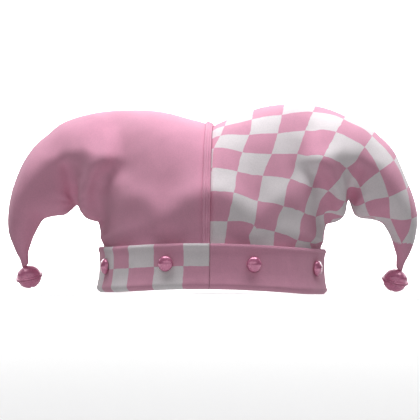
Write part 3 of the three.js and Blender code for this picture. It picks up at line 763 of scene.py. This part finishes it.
def band_profile():
    """The turned-up cloth in section, with its cut edge inside, from the lower edge."""
    up = np.linspace(0, 1, BAND_FINE) * BAND_HEIGHT
    rounded = np.convolve(np.pad(band_out(up), 1, mode="edge"), BAND_SOFTEN, mode="valid")
    edge = BAND_WALL / 3
    inner = (
        (BAND_STAND_OFF + 0.9 * edge, BAND_HEIGHT + 0.1 * edge),
        (BAND_STAND_OFF + 0.3 * edge, BAND_HEIGHT - 0.1 * edge),
        (BAND_STAND_OFF, BAND_HEIGHT - edge / 2),
        (BAND_STAND_OFF, BAND_HEIGHT - 2 * edge),
        (GAP, BAND_HEIGHT * 0.68),
        (GAP, BAND_HEIGHT * 0.35),
        (GAP, BAND_WALL + 0.2 * edge),
        (GAP - 0.3 * edge, BAND_WALL),
        (-CROWN_WALL + 0.3 * edge, BAND_WALL),
        (-CROWN_WALL, BAND_WALL - 0.3 * edge),
        (-CROWN_WALL, edge),
        (0.3 * edge - CROWN_WALL, 0.3 * edge),
        (edge - CROWN_WALL, 0),
        (BAND_FACE * 0.5, 0),
    )
    return np.concatenate([np.stack([rounded, up], axis=-1), np.array(inner)])


def make_band(name, side, materials, seed, print_of):
    profile = band_profile()
    angles = np.linspace(-math.pi / 2, math.pi / 2, BAND_STEPS + 1)
    turns, outs = np.meshgrid(angles, profile[:, 0])
    heights = np.broadcast_to(profile[:, 1][:, None], outs.shape)
    points = around_band(turns, outs, heights)
    face = points[:BAND_FINE]
    loose = np.zeros(outs.shape)
    for step, (height, size) in enumerate(BAND_WAVES):
        loose[:BAND_FINE] += height * ripple(face, size, seed + step)
    for index in range(STUD_COUNT):
        centre = around_band(np.array(stud_angle(index)), band_out(STUD_UP), STUD_UP)
        centre[0] = abs(centre[0])
        far = np.linalg.norm(face - centre, axis=2)
        # halved, because the mirrored stud of the other side falls on the same place
        loose[:BAND_FINE] -= DIMPLE_DEPTH * np.exp(-((far / DIMPLE_REACH) ** 2)) / 2
    wave = BAND_EDGE_WAVE * ripple(points, BAND_EDGE_WAVE_SIZE, seed + len(BAND_WAVES))
    wave *= smooth(heights, BAND_HEIGHT / 2, BAND_HEIGHT)
    points = around_band(turns, outs + loose, heights + wave)
    builder = Builder()
    index = builder.add(to_side(points, side))
    closed = np.concatenate([index, index[:1]])
    way = arc_lengths(around_band(angles[None, :], BAND_FACE, 0), 1)[0]
    up = np.concatenate([profile[:, 1], profile[:1, 1]])
    cloth = np.stack(np.meshgrid(way, up), axis=-1)
    corners = np.concatenate([cloth, print_of(way, up)], axis=2)
    builder.quads(closed, corners, flip=side < 0)
    for end in (index[:, 0], index[::-1, -1]):
        builder.polygon(end if side < 0 else end[::-1])
    return builder.make(name, materials)


def band_print(way, up):
    """Squares in two rows, numbered from the seam at the front towards the side."""
    counted = np.interp(way, BAND_LINES, np.arange(len(BAND_LINES)))
    columns, rows = np.meshgrid(counted + BAND_FIRST_LINE, up / BAND_ROW_UP)
    return np.stack([columns, rows], axis=-1)


def no_print(way, up):
    return np.zeros((len(up), len(way), 2))


# Studs and bells

STUD_SIDES = 64
STUD_STEPS = 18
STUD_FOOT = 0.12 * STUD_HEIGHT  # the upright edge under the dome
STUD_FOOT_TAPER = 0.4  # of it is bevelled
STUD_UNDERSIDE = 0.94  # of the radius
BELL_SIDES = 72
BELL_OUTER_STEPS, BELL_INNER_STEPS = 24, 16
BELL_SHARP_ANGLE = math.radians(40)
SLOT_REACH = 0.62 * BELL_DIAMETER
SLOT_TURNS = (math.pi / 4, 3 * math.pi / 4)
TIP_STEPS = 12


def make_lathe(name, profile, sides, place, materials):
    """A turned piece: its profile runs as (out, up) from pole to pole along local Z."""
    profile = np.array(profile)
    angles = np.arange(sides) * 2 * math.pi / sides
    builder = Builder()
    rings = np.stack([
        np.outer(profile[1:-1, 0], np.cos(angles)),
        np.outer(profile[1:-1, 0], np.sin(angles)),
        np.repeat(profile[1:-1, 1][:, None], sides, axis=1),
    ], axis=-1)
    index = builder.add(rings)
    closed = np.concatenate([index, index[:, :1]], axis=1)
    builder.quads(closed)
    first, last = builder.add(np.array([[0, 0, profile[0, 1]], [0, 0, profile[-1, 1]]])).tolist()
    for a, b in zip(closed[0], closed[0][1:]):
        builder.polygon([b, a, first])
    for a, b in zip(closed[-1], closed[-1][1:]):
        builder.polygon([a, b, last])
    piece = builder.make(name, materials)
    piece.data.transform(place)
    return piece


def stud_profile():
    radius = STUD_DIAMETER / 2
    dome = [
        (radius * math.cos(a), STUD_FOOT + (STUD_HEIGHT - STUD_FOOT) * math.sin(a))
        for a in np.linspace(0, math.pi / 2, STUD_STEPS)
    ]
    foot = [(0, 0), (radius * STUD_UNDERSIDE, 0), (radius, STUD_FOOT * STUD_FOOT_TAPER)]
    return foot + dome[:-1] + [(0, STUD_HEIGHT)]


def make_stud(index, materials):
    angle = np.array(stud_angle(index))
    radius = STUD_DIAMETER / 2
    least = band_out(STUD_UP)
    low, high = (
        Vector(around_band(angle, np.maximum(band_out(height), least), height).tolist())
        for height in (STUD_UP - radius, STUD_UP + radius)
    )
    turn = radius / CROWN_HALF_DEPTH
    before = around_band(angle - turn, BAND_FACE, STUD_UP)
    after = around_band(angle + turn, BAND_FACE, STUD_UP)
    axis = Vector((after - before).tolist()).cross(high - low).normalized()
    place = facing((low + high) / 2 + axis * 2 * GAP, axis)
    return make_lathe(f"stud_{index + 1}_cap", stud_profile(), STUD_SIDES, place, materials)


def bell_profile(side):
    radius = BELL_DIAMETER / 2
    shoulder = GAP / 2 + BELL_FLANGE_THICK
    inside = BELL_UP - BELL_WALL

    def arc(across, tall, steps):
        return [
            (across * math.sin(a), shoulder + (tall - shoulder) * math.cos(a))
            for a in np.linspace(0, math.pi / 2, steps)
        ]

    edge = radius + BELL_FLANGE
    flange = [  # rounded at its edge, from the dome inward to the wall
        (radius + 0.35 * BELL_FLANGE, shoulder - 0.02 * MM),
        (edge - 0.3 * MM, shoulder - 0.05 * MM),
        (edge - 0.05 * MM, shoulder - 0.2 * MM),
        (edge, shoulder - 0.45 * MM),
        (edge - 0.08 * MM, GAP / 2 + 0.1 * MM),
        (edge - 0.3 * MM, GAP / 2),
        (radius - BELL_WALL, GAP / 2),
    ]
    lining = arc(radius - BELL_WALL, inside, BELL_INNER_STEPS)[::-1]
    outline = arc(radius, BELL_UP, BELL_OUTER_STEPS) + flange + lining
    outline = [(out, side * up) for out, up in outline]
    return outline if side < 0 else outline[::-1]


def tip_of(form):
    loop = front_grid(form, np.array([float(LAST_PLACE)]), TIP_STEPS, TIP_STEPS)[0]
    both = np.concatenate([loop, loop[1:-1]])
    return Vector((float(both[:, 0].mean()), 0, HORN_TIP_HEIGHT - TIP_ROUND))


def make_bell(name, form, side, materials):
    axis = Vector((BELL_AXIS.x * side, BELL_AXIS.y, BELL_AXIS.z))
    tip = tip_of(form)
    across = Vector((axis.z, 0, -axis.x)).normalized()
    centre = Vector((side * (tip.x + GAP / 2), 0, tip.z)) - axis * (BELL_UP + GAP)
    centre -= across * side * BELL_INSET
    upright = Matrix.Identity(4)
    dome = make_lathe(f"{name}_dome_shell", bell_profile(1), BELL_SIDES, upright, materials)
    cup = make_lathe(f"{name}_cup_shell", bell_profile(-1), BELL_SIDES, upright, materials)
    cut_slots(cup)
    for shell in (dome, cup):
        shell.data.transform(facing(centre, axis))
    return dome, cup


def cut_slots(cup):
    """Two crossed slots in the bottom of an upright cup."""
    cutters = []
    for turn in SLOT_TURNS:
        bpy.ops.mesh.primitive_cube_add(size=1, location=(0, 0, -BELL_UP), rotation=(0, 0, turn))
        cutter = bpy.context.object
        cutter.scale = (SLOT_REACH, BELL_SLOT, BELL_UP)
        change = cup.modifiers.new("slot", "BOOLEAN")
        change.operation = "DIFFERENCE"
        change.object = cutter
        cutters.append(cutter)
    bpy.context.view_layer.update()
    cut = bpy.data.meshes.new_from_object(cup.evaluated_get(bpy.context.evaluated_depsgraph_get()))
    cup.modifiers.clear()
    cup.data = cut
    for cutter in cutters:
        bpy.data.objects.remove(cutter)
    cut.set_sharp_from_angle(angle=BELL_SHARP_ANGLE)


# Materials

class Shader:
    """A material with its nodes."""

    def __init__(self, name, **surface):
        self.material = bpy.data.materials.new(name)
        self.material.use_nodes = True
        self.tree = self.material.node_tree
        self.surface = self.tree.nodes["Principled BSDF"]
        for key, value in surface.items():
            self.surface.inputs[key.replace("_", " ")].default_value = value

    def node(self, kind, inputs=None, **settings):
        node = self.tree.nodes.new(kind)
        for key, value in settings.items():
            setattr(node, key, value)
        for key, value in (inputs or {}).items():
            if isinstance(value, bpy.types.NodeSocket):
                self.tree.links.new(value, node.inputs[key])
            else:
                node.inputs[key].default_value = value
        return node

    def math(self, operation, *values):
        return self.node("ShaderNodeMath", dict(enumerate(values)), operation=operation).outputs[0]

    def set(self, name, socket):
        self.tree.links.new(socket, self.surface.inputs[name])

    def bump(self, height, strength, depth):
        inputs = {"Height": height, "Strength": strength, "Distance": depth}
        self.set("Normal", self.node("ShaderNodeBump", inputs).outputs[0])

    def place(self, layer):
        found = self.node("ShaderNodeUVMap", uv_map=layer).outputs[0]
        parts = self.node("ShaderNodeSeparateXYZ", {0: found})
        return parts.outputs[0], parts.outputs[1]

    def noise(self, size, detail=2.0, rough=0.5):
        coordinates = self.node("ShaderNodeTexCoord").outputs["Object"]
        return self.node(
            "ShaderNodeTexNoise",
            {"Vector": coordinates, "Scale": 1 / size, "Detail": detail, "Roughness": rough},
        ).outputs[0]

    def mix(self, share, first, second):
        """A mix of colours: the node's share is input 0, its colours are 6 and 7."""
        return self.node("ShaderNodeMix", {0: share, 6: first, 7: second}, data_type="RGBA").outputs[2]

    def ramp(self, value, low, high, to_low, to_high):
        return self.node(
            "ShaderNodeMapRange", {0: value, 1: low, 2: high, 3: to_low, 4: to_high},
        ).outputs[0]


PINK = (0.80, 0.385, 0.53, 1)
DEEP_PINK = (0.76, 0.34, 0.49, 1)
WHITE = (0.86, 0.80, 0.83, 1)
NOISE_SPAN = (0.3, 0.7)  # most of the noise lies between these
CLOTH_SURFACE = {
    "Roughness": 0.92,
    "Sheen_Weight": 0.25,
    "Sheen_Roughness": 0.5,
    "Specular_IOR_Level": 0.15,
}
# Sizes of the cloth's uneven places and of its threads
PATCH_SIZE = 60 * MM
WORN_SIZE = 26 * MM
WANDER_SIZE = 7 * MM
FLECK_SIZE = 1.1 * MM
THREAD = 0.55 * MM
FIBRE_SIZE = 0.5 * MM
# How much they change the shade, the print and the surface
PATCH_SPAN, PATCH_SHARE = (0.35, 0.65), 0.35
WORN_SHADE = 0.05
FLECK_SHADE = 0.04
WANDER = 0.03  # of the printed lines, in squares
THREAD_SHARE, FIBRE_SHARE = 0.7, 0.5
FIBRE_ROUGH = 0.6
CLOTH_BUMP, CLOTH_BUMP_DEPTH = 0.6, 0.16 * MM


def weave_height(shader):
    """Raised threads that pass over and under one another."""
    across, down = shader.place("Cloth")
    turn = math.pi / THREAD
    first = shader.math("SINE", shader.math("MULTIPLY", across, turn))
    second = shader.math("SINE", shader.math("MULTIPLY", down, turn))
    over = shader.math("MULTIPLY", first, second)
    return shader.ramp(over, -1.0, 1.0, 0.0, 1.0)


def finish_cloth(shader, colour):
    worn = shader.ramp(shader.noise(WORN_SIZE, 3.0), *NOISE_SPAN, -WORN_SHADE, WORN_SHADE)
    flecks = shader.ramp(shader.noise(FLECK_SIZE), *NOISE_SPAN, -FLECK_SHADE, FLECK_SHADE)
    value = shader.math("ADD", shader.math("ADD", worn, flecks), 1.0)
    tinted = shader.node("ShaderNodeHueSaturation", {"Color": colour, "Value": value})
    shader.set("Base Color", tinted.outputs[0])
    threads = shader.math("MULTIPLY", weave_height(shader), THREAD_SHARE)
    fibres = shader.math("MULTIPLY", shader.noise(FIBRE_SIZE, 3.0, FIBRE_ROUGH), FIBRE_SHARE)
    shader.bump(shader.math("ADD", threads, fibres), CLOTH_BUMP, CLOTH_BUMP_DEPTH)
    return shader.material


def cloth_material(name):
    """Pink cloth with deeper patches."""
    shader = Shader(name, **CLOTH_SURFACE)
    patches = shader.ramp(shader.noise(PATCH_SIZE, 1.0), *PATCH_SPAN, 0.0, PATCH_SHARE)
    return finish_cloth(shader, shader.mix(patches, PINK, DEEP_PINK))


def check_material(name, first, second):
    """Squares in two colours, by the numbers of the printed columns and rows."""
    shader = Shader(name, **CLOTH_SURFACE)
    wander = shader.ramp(shader.noise(WANDER_SIZE, 1.0), 0.0, 1.0, -WANDER, WANDER)
    column, row = (shader.math("ADD", value, wander) for value in shader.place("Print"))
    total = shader.math("ADD", shader.math("FLOOR", column), shader.math("FLOOR", row))
    odd = shader.math("FLOORED_MODULO", total, 2.0)
    return finish_cloth(shader, shader.mix(odd, first, second))


LACQUER = (0.74, 0.25, 0.42, 1)
DEEP_LACQUER = (0.62, 0.18, 0.33, 1)
CLOUD_SIZE, CLOUD_SHARE = 5 * MM, 0.6
SCUFF_SIZE, SCUFF_ROUGH = 1.6 * MM, 0.6
SCUFF_SPAN = (0.35, 0.75)
SMOOTHER, ROUGHER = 0.07, 0.09  # the scuffs' change of the roughness, both ways
SCUFF_BUMP, SCUFF_BUMP_DEPTH = 0.12, 0.05 * MM


def gloss_material(name, metallic, roughness, coat, coat_roughness):
    """Pink lacquer on metal, cloudy and lightly scuffed."""
    shader = Shader(name, Metallic=metallic, Coat_Weight=coat, Coat_Roughness=coat_roughness)
    clouds = shader.ramp(shader.noise(CLOUD_SIZE), *NOISE_SPAN, 0.0, CLOUD_SHARE)
    shader.set("Base Color", shader.mix(clouds, LACQUER, DEEP_LACQUER))
    scuffs = shader.noise(SCUFF_SIZE, 4.0, SCUFF_ROUGH)
    shader.set("Roughness", shader.ramp(scuffs, *SCUFF_SPAN, roughness - SMOOTHER, roughness + ROUGHER))
    shader.bump(scuffs, SCUFF_BUMP, SCUFF_BUMP_DEPTH)
    return shader.material


# The stage, the light and the camera

CAMERA_DISTANCE = 6.0
CAMERA_HEIGHT = 10 * MM
CAMERA_ROLL = math.atan(PHOTO_TILT)
PHOTO_SIZE = 420
VIEW_WIDTH = PHOTO_SIZE * PHOTO_SCALE
TARGET_X = (PHOTO_SIZE / 2 - PHOTO_CENTRE_X) * PHOTO_SCALE
TARGET_Z = (PHOTO_BASE_Y - PHOTO_SIZE / 2) * PHOTO_SCALE
SENSOR_WIDTH = 36
VIEW_DEPTH = 40
FLOOR_NEAR = -12.0
FLOOR_BACK = 9.0  # where it starts to curve up
FLOOR_COVE = 1.5
FLOOR_TALL = 6.0
FLOOR_HALF_WIDTH = 12.0
COVE_POINTS = 13
FLOOR_PATCH = 0.4
FLOOR_PALE = (0.90, 0.90, 0.90, 1)
FLOOR_GREY = (0.88, 0.88, 0.885, 1)
WORLD_BELOW, WORLD_LEVEL, WORLD_ABOVE = 0.78, 0.0, 0.06
LIGHTS = (  # name, place, target, size and power
    ("key", (0.0, -0.05, 1.8), (0, 0, 0.08), (2.6, 1.0), 47),
    ("front_light", (0.0, -3.9, 1.0), (0, -3.9, 0), (7.0, 4.2), 112),
    ("rear_light", (0.0, 5.2, 1.4), (0, 5.2, 0), (8.0, 8.5), 460),
    ("backdrop_light", (0.0, 6.2, 2.6), (0, 10.5, 1.6), (5.0, 1.5), 1000),
)


def make_camera():
    data = bpy.data.cameras.new("camera")
    data.sensor_width = SENSOR_WIDTH
    data.lens = SENSOR_WIDTH * CAMERA_DISTANCE / VIEW_WIDTH
    data.clip_end = VIEW_DEPTH
    camera = bpy.data.objects.new("camera", data)
    bpy.context.scene.collection.objects.link(camera)
    away = Vector((math.sin(PHOTO_AZIMUTH), -math.cos(PHOTO_AZIMUTH), 0)) * CAMERA_DISTANCE
    target = Vector((TARGET_X, 0, TARGET_Z))
    place = Vector((target.x + away.x, away.y, CAMERA_HEIGHT))
    roll = Matrix.Rotation(CAMERA_ROLL, 4, "Z")
    camera.matrix_world = facing(place, target - place, "-Z") @ roll
    bpy.context.scene.camera = camera


def make_floor():
    """A pale floor that curves up far behind the hat."""
    cove = [
        (FLOOR_BACK + FLOOR_COVE * math.sin(a), FLOOR_COVE - FLOOR_COVE * math.cos(a))
        for a in np.linspace(0, math.pi / 2, COVE_POINTS)
    ]
    line = [(FLOOR_NEAR, 0.0)] + cove + [(FLOOR_BACK + FLOOR_COVE, FLOOR_TALL)]
    builder = Builder()
    rows = [[(-FLOOR_HALF_WIDTH, y, z), (FLOOR_HALF_WIDTH, y, z)] for y, z in line]
    builder.quads(builder.add(rows), flip=True)
    shader = Shader("pale_floor", Roughness=0.8)
    patches = shader.ramp(shader.noise(FLOOR_PATCH), *NOISE_SPAN, 0.0, 1.0)
    shader.set("Base Color", shader.mix(patches, FLOOR_PALE, FLOOR_GREY))
    return builder.make("floor", [shader.material])


def make_light(name, place, target, size, power):
    data = bpy.data.lights.new(name, "AREA")
    data.shape = "RECTANGLE"
    data.size, data.size_y = size
    data.energy = power
    lamp = bpy.data.objects.new(name, data)
    bpy.context.scene.collection.objects.link(lamp)
    lamp.matrix_world = facing(Vector(place), Vector(target) - Vector(place), "-Z")


def make_world(below, level, above):
    """Soft light that is brightest from below, as over a pale floor."""
    world = bpy.data.worlds.new("studio")
    bpy.context.scene.world = world
    world.use_nodes = True
    tree = world.node_tree
    direction = tree.nodes.new("ShaderNodeTexCoord")
    parts = tree.nodes.new("ShaderNodeSeparateXYZ")
    share = tree.nodes.new("ShaderNodeMapRange")
    ramp = tree.nodes.new("ShaderNodeValToRGB")
    share.inputs["From Min"].default_value = -1
    ramp.color_ramp.elements.new(0.5)
    for element, strength in zip(ramp.color_ramp.elements, (below, level, above)):
        element.color = (strength, strength, strength, 1)
    tree.links.new(direction.outputs["Generated"], parts.inputs[0])
    tree.links.new(parts.outputs["Z"], share.inputs["Value"])
    tree.links.new(share.outputs[0], ramp.inputs[0])
    tree.links.new(ramp.outputs[0], tree.nodes["Background"].inputs[0])


scene = bpy.context.scene
scene.view_settings.view_transform = "Standard"
scene.view_settings.exposure = 0
make_camera()
make_world(WORLD_BELOW, WORLD_LEVEL, WORLD_ABOVE)
floor = make_floor()
floor.visible_diffuse = False  # the world's light from below stands in for its bounce
for light in LIGHTS:
    make_light(*light)

pink_cloth = cloth_material("pink_cloth")
inside_cloth = cloth_material("inside_cloth")
check_cloth = check_material("check_cloth", PINK, WHITE)
band_cloth = cloth_material("band_pink_cloth")
band_check_cloth = check_material("band_check_cloth", WHITE, PINK)
stud_lacquer = gloss_material(
    "lacquered_stud", metallic=0.25, roughness=0.24, coat=0.7, coat_roughness=0.08,
)
bell_lacquer = gloss_material(
    "lacquered_bell", metallic=0.12, roughness=0.32, coat=0.45, coat_roughness=0.14,
)

plain_form = Form(0)
check_form = Form(CHECK_RISE)
check_print = CheckPrint(check_form)

CLOTH_SEED = 3
plain_materials = [pink_cloth, inside_cloth]
check_materials = [check_cloth, inside_cloth]
crown_plain = make_crown("crown_plain_cloth", plain_form, -1, None, plain_materials, CLOTH_SEED)
crown_check = make_crown(
    "crown_check_cloth", check_form, 1, check_print, check_materials, CLOTH_SEED + 1,
)
welt = make_welt("seam_hem", plain_form, -1, [pink_cloth], CLOTH_SEED)
band_left = make_band("band_check_cloth", -1, [band_check_cloth], BAND_SEEDS[0], band_print)
band_right = make_band("band_plain_cloth", 1, [band_cloth], BAND_SEEDS[1], no_print)

pieces = [
    (crown_plain, "crown_plain", "plain_cloth"),
    (crown_check, "crown_check", "check_cloth"),
    (welt, "seam_welt", "plain_cloth"),
    (band_left, "band_check", "check_band"),
    (band_right, "band_plain", "band_cloth"),
]
for index in range(STUD_COUNT):
    pieces.append((make_stud(index, [stud_lacquer]), f"stud_{index + 1}", "stud_gloss"))
for side_name, form, side in (("left", plain_form, -1), ("right", check_form, 1)):
    dome, cup = make_bell(f"bell_{side_name}", form, side, [bell_lacquer])
    pieces.append((dome, f"bell_{side_name}_dome", "bell_gloss"))
    pieces.append((cup, f"bell_{side_name}_cup", "bell_gloss"))
for piece, node, slot in pieces:
    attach(piece, "root")
    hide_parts(node)
